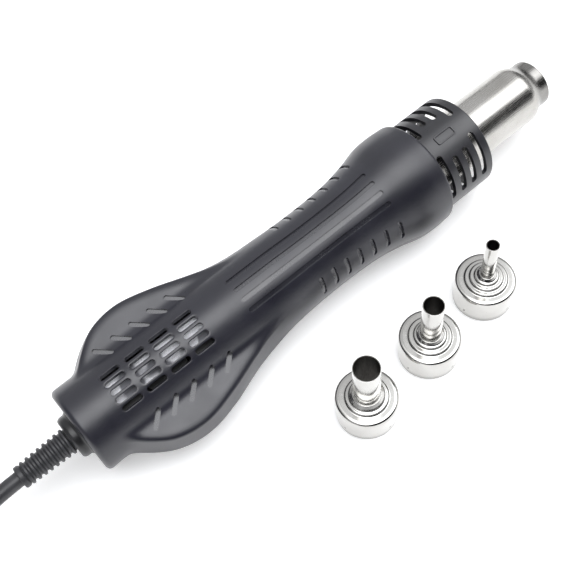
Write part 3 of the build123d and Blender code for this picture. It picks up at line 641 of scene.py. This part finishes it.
# ---- handle shells
def wing_radius(x, angle, inset):
    """Distance from the axis to the flat-shouldered bulge, at an angle from the top."""
    base = smooth(x, list(zip(WING_XS, WING_BASE))) - inset * 1.1
    crease = smooth(x, list(zip(WING_XS, WING_CREASE))) - inset * 1.1
    across, up = np.abs(np.sin(angle)), np.maximum(np.abs(np.cos(angle)), 1e-3)
    flank = base / (across + (base - crease) / WING_TOP * up)
    top = (WING_TOP - inset) / up
    return np.maximum(soft_min(flank, top, 4.0), 0.0)


def body_radius(x, inset, below):
    """Distance from the axis to the round body, which has a deeper belly below."""
    radius = smooth(x, BODY_POINTS)
    if below:
        belly = smooth(x, BELLY_POINTS)
        radius = np.where(x < 98, belly, radius)
    return radius - inset


def shell_radius(x, angle, inset, below):
    """Distance from the axis to a shell's skin."""
    return soft_max(body_radius(x, inset, below), wing_radius(x, angle, inset), 3.0)


def shell_skin(xs, columns, inset, below):
    """A grid of skin points, a row for each x, with their angles from the half's own middle and how far
    they are along the skin from the joint plane."""
    dense = np.linspace(-pi / 2, pi / 2, 1601)
    x = np.asarray(xs, float)[:, None]
    radius = shell_radius(x, dense[None, :], inset, below)
    y, z = radius * np.sin(dense), radius * np.cos(dense)
    travel = np.zeros_like(radius)
    travel[:, 1:] = np.cumsum(np.hypot(np.diff(y), np.diff(z)), 1)
    crowd = 1 + CROWDING * (np.abs(dense) < radians(CROWDED_HALF))
    share = np.linspace(0, 1, columns)
    angle, edge = [], []
    for row in travel:
        counted = np.zeros_like(row)
        counted[1:] = np.cumsum(np.diff(row) * crowd[1:])
        angle.append(np.interp(share * counted[-1], counted, dense))
        reached = np.interp(angle[-1], dense, row)
        edge.append(np.minimum(reached, row[-1] - reached))
    angle, edge = np.stack(angle), np.stack(edge)
    radius = shell_radius(x, angle, inset, below)
    points = np.stack([np.broadcast_to(x, angle.shape), radius * np.sin(angle), radius * np.cos(angle)], -1)
    return points, angle, edge


def slot_gap(u, v, length, width):
    """Distance outside a round-ended slot that is long in u; negative inside."""
    reach = length / 2 - width / 2
    return np.hypot(np.maximum(np.abs(u) - reach, 0), v) - width / 2


def drawn_in_marks(points, angle, edge, below):
    """How far each point of the skin is drawn in at the vents' lips and the parting line."""
    x, y, z = points[..., 0], points[..., 1], points[..., 2]
    radius = np.hypot(y, z)
    depth = SEAM_DEPTH * (1 - step(0.0, 0.45, edge))
    for a in VENT_ANGLES:
        a = radians(a * (VENT_SQUEEZE if below else 1.0))
        across = radius * np.sin(angle - a)
        for vent_x in VENT_XS:
            gap = slot_gap(x - vent_x, across, *VENT_SIZE)
            depth += LIP_DEPTH * (1 - step(-0.1, 0.35, gap))
    return depth


def groove_cutters():
    """Four long grooves on top of the grip, each as deep as the skin lets it be all the way."""
    cutters = []
    middle = sum(GROOVE_X) / 2
    places, halves = slot_stations(GROOVE_X[1] - GROOVE_X[0], GROOVE_W, middle=40)
    floor = smooth(middle + places, BODY_POINTS) - MARK_DEPTH
    for a in GROOVE_ANGLES:
        sections = []
        for u, half, low in zip(places, halves, floor):
            x = middle + u
            sections.append([(x, -half, low), (x, half, low), (x, half, low + 4), (x, -half, low + 4)])
        cutters.append(loft(sections, HANDLE @ Matrix.Rotation(radians(-a), 4, "X"), polished_highlit_plastic))
    return cutters


def pocket_cutters():
    """Seven pockets down each side of the grip, their floors sloping in towards the bell."""
    cutters = []
    places, halves = slot_stations(*POCKET_SIZE, middle=12)
    for side in (-1, 1):
        for x in POCKET_XS:
            radius = float(smooth(x, BODY_POINTS))
            sections = []
            for u, half in zip(places, halves):
                a = side * radians(POCKET_ANGLE) + u / radius
                shallow, deep = radius + 0.1, radius - POCKET_DEPTH
                top = radius + 3
                corners = ((x - half, shallow), (x + half, deep), (x + half, top), (x - half, top))
                sections.append([round_axis(px, r, a) for px, r in corners])
            cutters.append(loft(sections, HANDLE, polished_highlit_plastic))
    return cutters


def slash_cutters():
    """Five slanted pockets on each flat shoulder, with gently tilted floors."""
    cutters = []
    places, halves = slot_stations(*SLASH_SIZE, middle=14)
    for side in (-1, 1):
        for x in SLASH_XS:
            turn = Matrix.Rotation(-side * radians(SLASH_TURN), 4, "Z")
            place = HANDLE @ Matrix.Translation((x, side * SLASH_Y, 0)) @ turn
            sections = []
            for u, half in zip(places, halves):
                low = WING_TOP - SLASH_DEPTH + SLASH_TILT * side * u
                sections.append([(u, -half, low), (u, half, low), (u, half, 18), (u, -half, 18)])
            cutters.append(loft(sections, place, polished_highlit_plastic))
    return cutters


def skin_normals(points):
    """Outward direction at each point of a skin grid."""
    along = np.gradient(points, axis=0)
    round_it = np.gradient(points, axis=1)
    normal = np.cross(round_it, along)
    normal /= np.maximum(np.linalg.norm(normal, axis=-1, keepdims=True), 1e-9)
    outward = np.sign((normal * points)[..., 1:].sum(-1, keepdims=True))
    return normal * np.where(outward == 0, 1, outward)


def shell_stations():
    """Places along the shell: close together where there are vents and rounded ends."""
    tail = TAIL_X + TAIL_ROUND * (1 - np.cos(np.linspace(0, pi / 2, 10)))
    stretches = ((TAIL_X + TAIL_ROUND, 20, 22), (20, 65, 106), (65, 110, 50), (110, 156, 56), (156, 176, 28),
                 (176, FRONT_EDGE_X, 8))
    rows = [np.linspace(a, b, n, endpoint=False) for a, b, n in stretches]
    front = FRONT_EDGE_X + FRONT_ROUND[0] * np.sin(np.linspace(0, pi / 2, 7))
    return np.concatenate([tail[:-1], *rows, front])


def end_rounding(x):
    """How much the skin draws in at the tail's and the bell's outer edges."""
    tail = np.clip((TAIL_X + TAIL_ROUND - x) / TAIL_ROUND, 0, 1)
    front = np.clip((x - FRONT_EDGE_X) / FRONT_ROUND[0], 0, 1)
    return TAIL_ROUND * (1 - np.sqrt(1 - tail ** 2)) + FRONT_ROUND[1] * (1 - np.sqrt(1 - front ** 2))


def make_shell(name, below):
    """One moulded half: marked skin outside, plain wall inside, closed along the joint plane."""
    columns = SKIN_COLUMNS
    xs = shell_stations()
    skin, angle, edge = shell_skin(xs, columns, 0.0, below)
    normal = skin_normals(skin)
    drawn_in = drawn_in_marks(skin, angle, edge, below) + end_rounding(xs)[:, None]
    skin = skin - normal * drawn_in[..., None]
    skin[..., 0] = xs[:, None]
    skin[..., 2] = np.maximum(skin[..., 2], JOINT_GAP)
    inner_xs = np.linspace(TAIL_X + WALL, FRONT_X - WALL, 70)
    inner = shell_skin(inner_xs, columns, WALL, below)[0]
    inner[..., 2] = np.maximum(inner[..., 2], JOINT_GAP)

    def ring(x, radius):
        a = np.linspace(-pi / 2, pi / 2, columns)
        height = np.maximum(radius * np.cos(a), JOINT_GAP)
        return np.stack([np.full(columns, x), radius * np.sin(a), height], -1)[None]

    tail_face = [ring(TAIL_X, NECK_R + 0.4), ring(TAIL_X, NECK_R + 5)]
    lip = [ring(FRONT_X, LIP_R + 0.5), ring(FRONT_X - 0.3, LIP_R + 0.1), ring(FRONT_X - 1.0, LIP_R),
           ring(FRONT_X - WALL, LIP_R)]
    neck = [ring(TAIL_X + WALL, NECK_R + 0.2), ring(TAIL_X + 0.5, NECK_R)]
    points = np.concatenate([*tail_face, skin, *lip, inner[::-1], *neck])
    faces = grid_faces(len(points), columns, closed_rows=True)
    rows = np.arange(len(points))
    faces.append((rows * columns).tolist())
    faces.append((rows[::-1] * columns + columns - 1).tolist())
    if below:
        points[..., 2] *= -1
    shell = add_piece(name, points.reshape(-1, 3), faces, HANDLE, "handpiece", shell_plastic)
    tidy(shell)
    cutters = [] if below else groove_cutters() + pocket_cutters() + slash_cutters()
    for a in VENT_ANGLES:
        turn = 180 + a * VENT_SQUEEZE if below else a
        place = HANDLE @ Matrix.Rotation(radians(-turn), 4, "X")
        for x in VENT_XS:
            cutters.append(prism(stadium(*VENT_SIZE, x), *VENT_CUT, place))
    if below:
        for x, y in SCREW_PLACES:
            for side in (-1, 1):
                place = HANDLE @ Matrix.Translation((x, side * y, 0))
                cutters.append(prism(round_outline(SCREW_WELL_R), -30, SCREW_SEAT_Z, place))
    cut(shell, cutters)
    return shell


def make_foam():
    """Wavy foam sheet tucked under the vents, wider on the far side."""
    xs, angles = np.linspace(18, 66, 90), np.radians(np.linspace(-17, 28, 60))
    x, a = np.meshgrid(xs, angles, indexing="ij")
    wave = 0.25 * np.sin(x * 0.42 + 2.0) * np.cos(a * 9) + 0.15 * np.sin(x * 0.9 + a * 7)
    sheets = []
    for radius in (FOAM_R + wave, FOAM_R - FOAM_THICK + wave):
        sheets.append(np.stack([x, radius * np.sin(a), radius * np.cos(a)], -1))
    rows, columns = x.shape
    points = np.stack(sheets, 2).reshape(rows, 2 * columns, 3)
    order = [2 * i for i in range(columns)] + [2 * i + 1 for i in range(columns)][::-1]
    points = points[:, order]
    faces = grid_faces(rows, 2 * columns, closed_columns=True)
    faces += [list(range(2 * columns))[::-1], list(range((rows - 1) * 2 * columns, rows * 2 * columns))]
    foam_sheet = add_piece("inlet_foam", points.reshape(-1, 3), faces, HANDLE, "handpiece", screen_foam,
                           50)
    tidy(foam_sheet)
    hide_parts("inlet_screen")


# ---- guard and tube
def guard_slot_cutter(x, start, base, side):
    """A round-ended slot round part of the guard, between two angles from the top or the bottom."""
    length = radians(GUARD_SLOT_END - start) * GUARD_R
    places, halves = slot_stations(length, GUARD_SLOT_W, middle=14)
    low, high = GUARD_BORE - 1, GUARD_R + 1
    sections = []
    for u, half in zip(places, halves):
        a = radians(base) + side * (radians((start + GUARD_SLOT_END) / 2) + u / GUARD_R)
        corners = ((x - half, low), (x + half, low), (x + half, high), (x - half, high))
        sections.append([round_axis(px, r, a) for px, r in corners])
    return loft(sections, HANDLE, guard_plastic)


def make_guard():
    """Slotted sleeve with rounded rims, held by a foot inside the bell."""
    x0, x1 = GUARD_X
    foot = x0 + 2.5
    corners = [(x0, GUARD_BORE, 0), (x0, GUARD_FOOT_R, 0.3), (foot, GUARD_FOOT_R, 0.3), (foot, GUARD_R, 0.1),
               (x1, GUARD_R, 0.7), (x1, GUARD_BORE, 0.3)]
    guard = turned("front_guard_sleeve", corners, HANDLE, "handpiece", guard_plastic, 288)
    places = [(x, start, base, side) for x, start in GUARD_SLOTS for base in (0, 180) for side in (-1, 1)]
    cut(guard, [guard_slot_cutter(*place) for place in places])
    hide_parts("front_guard")


def make_plaque():
    """Raised blank frame on top of the guard, a bead bent round it."""
    bead_half = PLAQUE_BEAD[-1][0]
    reach_x, reach_y = (size / 2 - bead_half - PLAQUE_BEND for size in PLAQUE_SIZE)
    path = []
    for corner, (sx, sy) in enumerate(((1, 1), (-1, 1), (-1, -1), (1, -1))):
        for a in np.linspace(0, pi / 2, 6) + corner * pi / 2:
            nx, ny = cos(a), sin(a)
            path.append((sx * reach_x + PLAQUE_BEND * nx, sy * reach_y + PLAQUE_BEND * ny, nx, ny))
    points = []
    for x, y, nx, ny in path:
        for out, rise in PLAQUE_BEAD:
            points.append(round_axis(PLAQUE_X + x + nx * out, GUARD_R + rise, (y + ny * out) / GUARD_R))
    faces = grid_faces(len(path), len(PLAQUE_BEAD), True, True)
    plaque = add_piece("guard_plaque", points, faces, HANDLE, "handpiece", guard_plastic, 50)
    tidy(plaque)


def make_tube():
    """Drawn tube with a rounded shoulder and a rolled rim."""
    (x1, x2), inner, seat_inner = SHOULDER_X, TUBE_R - TUBE_WALL, SEAT_R - TUBE_WALL
    corners = [(TUBE_BACK_X, TUBE_R, 0), (x1, TUBE_R, 2.2), (x2, SEAT_R, 2.2),
               (NOSE_X, SEAT_R, 0.9), (NOSE_X, SEAT_R - 1.1, 0.4), (NOSE_X - 2, seat_inner, 0.3),
               (x2 - 0.3, seat_inner, 1.5), (x1 - 0.3, inner, 1.5), (TUBE_BACK_X, inner, 0)]
    tube = turned("heater_tube_drawn", corners, HANDLE, "handpiece", tube_steel, 224, steps=9)
    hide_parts("heater_tube")


# ---- tail
def make_boss():
    """Rounded boss in the tail face, flared where it meets the shells."""
    neck, flange = NECK_R - 0.1, 8.8
    seam, inside = TAIL_X - 0.02, TAIL_X + WALL
    corners = [(BOSS_X, 0, 0), (BOSS_X, 8.3, 1.3), (BOSS_X + 1.2, BOSS_R, 0.9), (TAIL_X - 0.9, BOSS_R, 0.5),
               (seam, BOSS_R + 0.8, 0.1), (seam, neck, 0), (inside, neck, 0),
               (inside, flange, 0.2), (inside + 1.5, flange, 0.2), (inside + 1.5, 0, 0)]
    boss = turned("tail_boss", corners, HANDLE, "handpiece", boss_plastic, 160)
    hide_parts("tail_grommet")


def make_relief():
    """Ribbed sleeve round the lead, tapering to a plain collar."""
    corners = [(BOSS_X, 0, 0), (BOSS_X, 4.9, 0.2)]
    for i in range(RIB_COUNT):
        x = BOSS_X - 0.45 - i * RIB_PITCH
        crest = 5.6 - 0.09 * i
        root = crest - 1.0
        corners += [(x, root, 0.3), (x - 0.35, crest, 0.4), (x - 1.35, crest, 0.4), (x - 1.7, root, 0.3)]
    corners += [(RELIEF_END_X + 1.9, 4.75, 0.3), (RELIEF_END_X, 4.75, 0.7), (RELIEF_END_X, 0, 0)]
    relief = turned("strain_relief_sleeve", corners, HANDLE, "handpiece", cord_rubber, 96,
                    steps=4)
    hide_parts("strain_relief")
    return relief


# ---- nozzles
def dimples(along, out, turn):
    """Four small punch marks round the skirt that hold the spring liner inside."""
    depth = np.zeros_like(out)
    for a in DIMPLE_ANGLES:
        spot = np.hypot(along - DIMPLE_Z, SKIRT_R * (np.mod(turn - a + pi, 2 * pi) - pi))
        depth += DIMPLE_DEPTH * (1 - step(0.2, 0.7, spot))
    return depth


def make_nozzle(size):
    """Spun cap with stepped rings, and the straight outlet pipe swaged into its collar."""
    outlet, steps = NOZZLES[size]
    place, body = NOZZLE_PLACES[size], size + "_nozzle"
    inner = SKIRT_R - SKIRT_WALL
    corners = [(0, inner, 0.1), (0, SKIRT_R, 0.25)]
    corners += [(z, SKIRT_R, 0) for z in np.arange(2.4, 4.6, 0.2)]
    corners += [(SKIRT_H, SKIRT_R, 2.0)]
    z = SKIRT_H
    for r in steps:
        corners += [(z + 0.02, r + 0.1, 0.45), (z + STEP_H, r - 0.15, 0.5)]
        z += STEP_H
    corners += [(z + 0.1, outlet + 1.3, 0.8), (z + 1.3, outlet + 0.35, 0.5), (z + 1.3, outlet, 0)]
    corners += [(z - SKIRT_WALL, outlet, 0), (SKIRT_H - 2.2, inner, 1.0)]
    cap = turned(size + "_nozzle_spun_cap", corners, place, body, nozzle_steel, 288, True,
                 dimples)
    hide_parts(size + "_nozzle_cap")
    base, bore = z - SKIRT_WALL, outlet - OUTLET_WALL
    corners = [(base, outlet, 0), (NOZZLE_H, outlet, 0.12), (NOZZLE_H, bore, 0.12), (base, bore, 0)]
    pipe = turned(size + "_nozzle_pipe", corners, place, body, nozzle_steel, 128, True)
    # The bore's faces get the dark steel: painted shade inside the pipe.
    pipe.data.materials.append(bore_shade_steel)
    for face in pipe.data.polygons:
        if (face.center - place.translation).xy.length < (outlet - 0.7 * OUTLET_WALL) * MM:
            face.material_index = 1
    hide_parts(size + "_nozzle_outlet")


# ---- plug
def flutes(along, out, turn):
    """Grip flutes round the coupling ring."""
    start, end = FLUTE_ENDS
    reach = step(*start, along) * (1 - step(*end, along))
    return FLUTE_DEPTH * reach * (out > RING_R - 0.3) * (0.5 + 0.5 * np.cos(FLUTES * turn)) ** 2


def make_plug():
    """Gland, shell and coupling ring of the round plug."""
    corners = [(0, 0, 0), (0, 4.0, 0.5), (1.6, 4.7, 0.4)]
    for x in GLAND_RIBS:
        r = 4.75 + 0.1 * x
        corners += [(x, r, 0.2), (x + 0.3, r - 0.5, 0.2), (x + 0.9, r - 0.5, 0.2), (x + 1.2, r + 0.1, 0.2)]
    corners += [(13, 6.2, 0.4), (16, 6.2, 0.3), (16, 0, 0)]
    gland = turned("plug_gland_sleeve", corners, PLUG, "handpiece", cord_rubber, 96)
    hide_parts("plug_gland")

    corners = [(16, 0, 0), (16, 7.2, 0.6), (17.6, 7.6, 0.4)]
    for x in SHELL_RINGS:
        corners += [(x, 7.6, 0.1), (x, 7.2, 0.1), (x + 0.8, 7.2, 0.1), (x + 0.8, 7.6, 0.1)]
    corners += [(27.5, 7.6, 0.1), (27.5, 8.9, 0.3), (29, 8.9, 0.3), (29, 8.2, 0.1),
                (46, 8.2, 0.3), (46, 7.5, 0.3), (36, 7.5, 0), (36, 0, 0)]
    shell = turned("plug_shell", corners, PLUG, "handpiece", plug_metal)
    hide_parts("plug_body")

    corners = [(29.6, 8.25, 0.2), (29.6, RING_R, 0.4)]
    for start, _ in FLUTE_ENDS:
        corners += [(start + 0.2 * i, RING_R, 0) for i in range(4)]
    corners += [(43.6, RING_R, 0.4), (43.6, 8.9, 0.2), (31.6, 8.9, 0), (31.6, 8.25, 0)]
    ring = turned("coupling_ring_fluted", corners, PLUG, "plug_ring", plug_metal, 288, False,
                  flutes)
    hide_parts("coupling_ring")
    return [gland, shell, ring]


# ---- lights and floor
def area_light(name, place, target, size, energy):
    """A rectangular lamp at a place that faces a target."""
    data = bpy.data.lights.new(name, "AREA")
    data.shape = "RECTANGLE"
    data.size, data.size_y = size
    data.energy = energy
    light = bpy.data.objects.new(name, data)
    bpy.context.scene.collection.objects.link(light)
    turn = (Vector(target) - Vector(place)).to_track_quat("-Z", "Y")
    light.matrix_world = Matrix.Translation(place) @ turn.to_matrix().to_4x4()


def make_floor():
    """Pale paper just under the bench plane, glowing a little so that it stays even."""
    p = Paint("floor_paper", Roughness=0.9)
    p.colour(p.mixed(p.noise(30, 3.0), (0.90, 0.90, 0.90), (0.92, 0.92, 0.92)))
    p.bump((p.noise(700, 3.0), 0.05, 0.0001))
    p.shader.inputs["Emission Color"].default_value = (1.0, 1.0, 1.0, 1.0)
    p.shader.inputs["Emission Strength"].default_value = 0.36
    points = [(x * 4000, y * 4000, -0.15) for x, y in ((-1, -1), (1, -1), (1, 1), (-1, 1))]
    floor = add_piece("floor", points, [(0, 1, 2, 3)], TO_MM, None, p.material)


def make_world():
    """One long soft light overhead that fades towards the far side, a dark near side and a pale horizon."""
    world = bpy.data.worlds.new("studio")
    world.use_nodes = True
    nodes, links = world.node_tree.nodes, world.node_tree.links
    parts = nodes.new("ShaderNodeSeparateXYZ")
    links.new(nodes.new("ShaderNodeTexCoord").outputs["Generated"], parts.inputs["Vector"])

    def ranged(source, low, high, out_low, out_high):
        made = nodes.new("ShaderNodeMapRange")
        made.interpolation_type = "SMOOTHSTEP"
        ends = {"From Min": low, "From Max": high, "To Min": out_low, "To Max": out_high}
        for socket, value in ends.items():
            made.inputs[socket].default_value = value
        links.new(source, made.inputs["Value"])
        return made.outputs["Result"]

    def maths(operation, a, b):
        made = nodes.new("ShaderNodeMath")
        made.operation = operation
        for value, socket in ((a, made.inputs[0]), (b, made.inputs[1])):
            if isinstance(value, float):
                socket.default_value = value
            else:
                links.new(value, socket)
        return made.outputs[0]

    along, across, up = (parts.outputs[axis] for axis in "XYZ")
    panel = maths("MULTIPLY", ranged(across, -0.52, -0.34, 0.0, 1.0), ranged(across, 0.0, 0.34, 4.1, 0.70))
    ends = maths("MULTIPLY", ranged(along, -0.60, -0.38, 0.12, 1.0), ranged(along, 0.62, 0.85, 1.0, 0.12))
    panel = maths("ADD", maths("MULTIPLY", panel, ends), 0.02)
    horizon = ranged(across, -0.5, 0.1, 0.80, 0.42)
    high = ranged(up, 0.08, 0.26, 0.0, 1.0)
    low = maths("SUBTRACT", 1.0, high)
    sky = maths("ADD", maths("MULTIPLY", panel, high), maths("MULTIPLY", horizon, low))
    seen = nodes.new("ShaderNodeLightPath").outputs["Is Camera Ray"]
    unseen = maths("SUBTRACT", 1.0, seen)
    strength = maths("ADD", maths("MULTIPLY", sky, unseen), maths("MULTIPLY", seen, 1.12))
    links.new(strength, nodes["Background"].inputs["Strength"])
    nodes["Background"].inputs["Color"].default_value = (0.97, 0.98, 1.0, 1.0)
    bpy.context.scene.world = world


carried_over()
lead = make_cord()
upper = make_shell("upper_shell_skin", False)
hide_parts("upper_shell")
lower = make_shell("lower_shell_skin", True)
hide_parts("lower_shell")
make_foam()
make_guard()
make_plaque()
make_tube()
make_boss()
relief = make_relief()
for size in NOZZLES:
    make_nozzle(size)
plug_pieces = make_plug()
make_floor()
make_world()
area_light("overhead", (0.05, 0.02, 1.2), (0.0, 0.0, 0.0), (1.2, 0.3), 0.6)
bpy.context.scene.view_settings.view_transform = "Standard"
